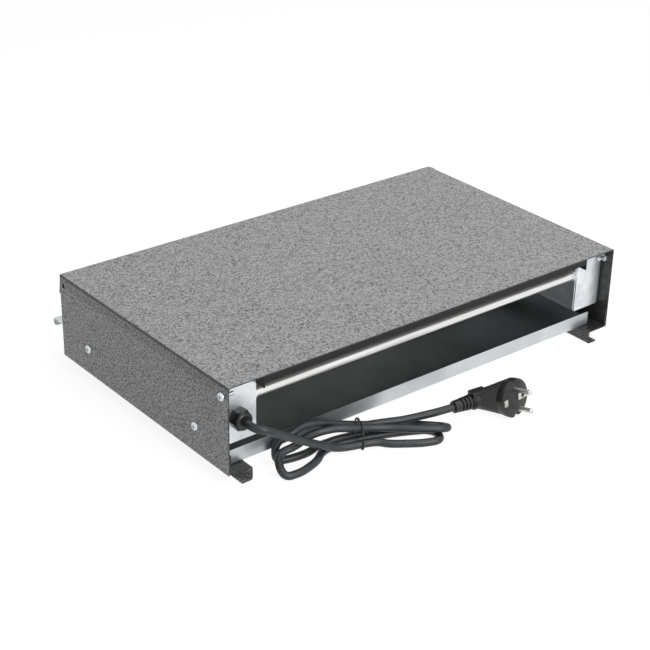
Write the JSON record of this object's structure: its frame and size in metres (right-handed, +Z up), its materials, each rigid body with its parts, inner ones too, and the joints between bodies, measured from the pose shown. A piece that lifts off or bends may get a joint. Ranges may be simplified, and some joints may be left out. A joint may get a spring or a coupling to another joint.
{
  "type": "cheese melter",
  "caption": "Low countertop cheese melter: a wide hammer-finished hood with straight heater tubes over a pull-out drip tray, a rocker switch at the front and a tied supply cord with plug.",
  "frame": {"origin": "on the floor under the middle of the cover and tray, cord left out", "axes": "+X to the right seen from the loading side, +Y towards the cord's side, +Z up"},
  "size_m": [0.4852, 0.3847, 0.101],
  "materials": {
    "hammered_paint": "hammer-finish textured paint, dark and light grains",
    "galvanised_sheet": "galvanised steel sheet, soft sheen",
    "stainless_sheet": "brushed stainless steel sheet",
    "baked_enamel": "black stove enamel on sheet steel, dull sheen",
    "heater_sheath": "drawn stainless tube, satin",
    "zinc_fixings": "zinc-plated, bright",
    "brass_fittings": "machined brass",
    "ceramic": "glazed ceramic",
    "wire_insulation": "heat-proof silicone sleeve",
    "black_nylon": "moulded nylon, fine sheen",
    "switch_plastic": "moulded plastic, gloss",
    "rocker_red": "moulded clear-red plastic, gloss",
    "cord_rubber": "extruded rubber sheath, satin",
    "plug_rubber": "moulded soft plastic, satin",
    "nickel_contacts": "nickel-plated brass"
  },
  "bodies": {
    "base": {"cover_shell": "hammered_paint", "foot_rail_right": "hammered_paint", "foot_rail_left": "hammered_paint", "end_box_cord_side": "galvanised_sheet", "end_box_far_side": "galvanised_sheet", "wall_plate_cord_side": "galvanised_sheet", "wall_plate_far_side": "galvanised_sheet", "reflector_hood": "baked_enamel", "heater_rear": "heater_sheath", "heater_middle": "heater_sheath", "heater_front": "heater_sheath", "heater_collars": "heater_sheath", "heater_retaining_rings": "zinc_fixings", "terminal_bushings": "ceramic", "terminal_studs": "zinc_fixings", "terminal_nuts": "zinc_fixings", "bus_strip_cord_side": "brass_fittings", "bus_strip_far_side": "brass_fittings", "terminal_block": "ceramic", "terminal_block_screws": "zinc_fixings", "earth_stud": "brass_fittings", "earth_nut": "brass_fittings", "earth_washer": "zinc_fixings", "switch_body": "switch_plastic", "return_wire": "wire_insulation", "supply_wires": "wire_insulation", "switch_wires": "wire_insulation", "side_screws": "zinc_fixings", "rear_screws": "zinc_fixings", "rear_nuts": "zinc_fixings", "gland_body": "black_nylon", "gland_dome_nut": "black_nylon", "gland_seal": "cord_rubber", "gland_lock_nut": "black_nylon", "cord_inner_end": "cord_rubber", "cord_lead": "cord_rubber", "cord_hank": "cord_rubber", "cord_tail": "cord_rubber", "cord_tie": "plug_rubber", "plug_body": "plug_rubber", "plug_pins": "nickel_contacts", "plug_earth_clips": "nickel_contacts"},
    "tray": {"drip_tray": "stainless_sheet"},
    "rocker": {"switch_rocker": "rocker_red"}
  },
  "joints": [
    {"name": "tray_slide", "type": "slide", "parent": "base", "child": "tray", "axis": [0, -1, 0], "range_m": [0, 0.25]},
    {"name": "rocker_tilt", "type": "hinge", "parent": "base", "child": "rocker", "pos_m": [0.22065, -0.113, 0.056], "axis": [1, 0, 0], "range_deg": [0, 14]}
  ]
}
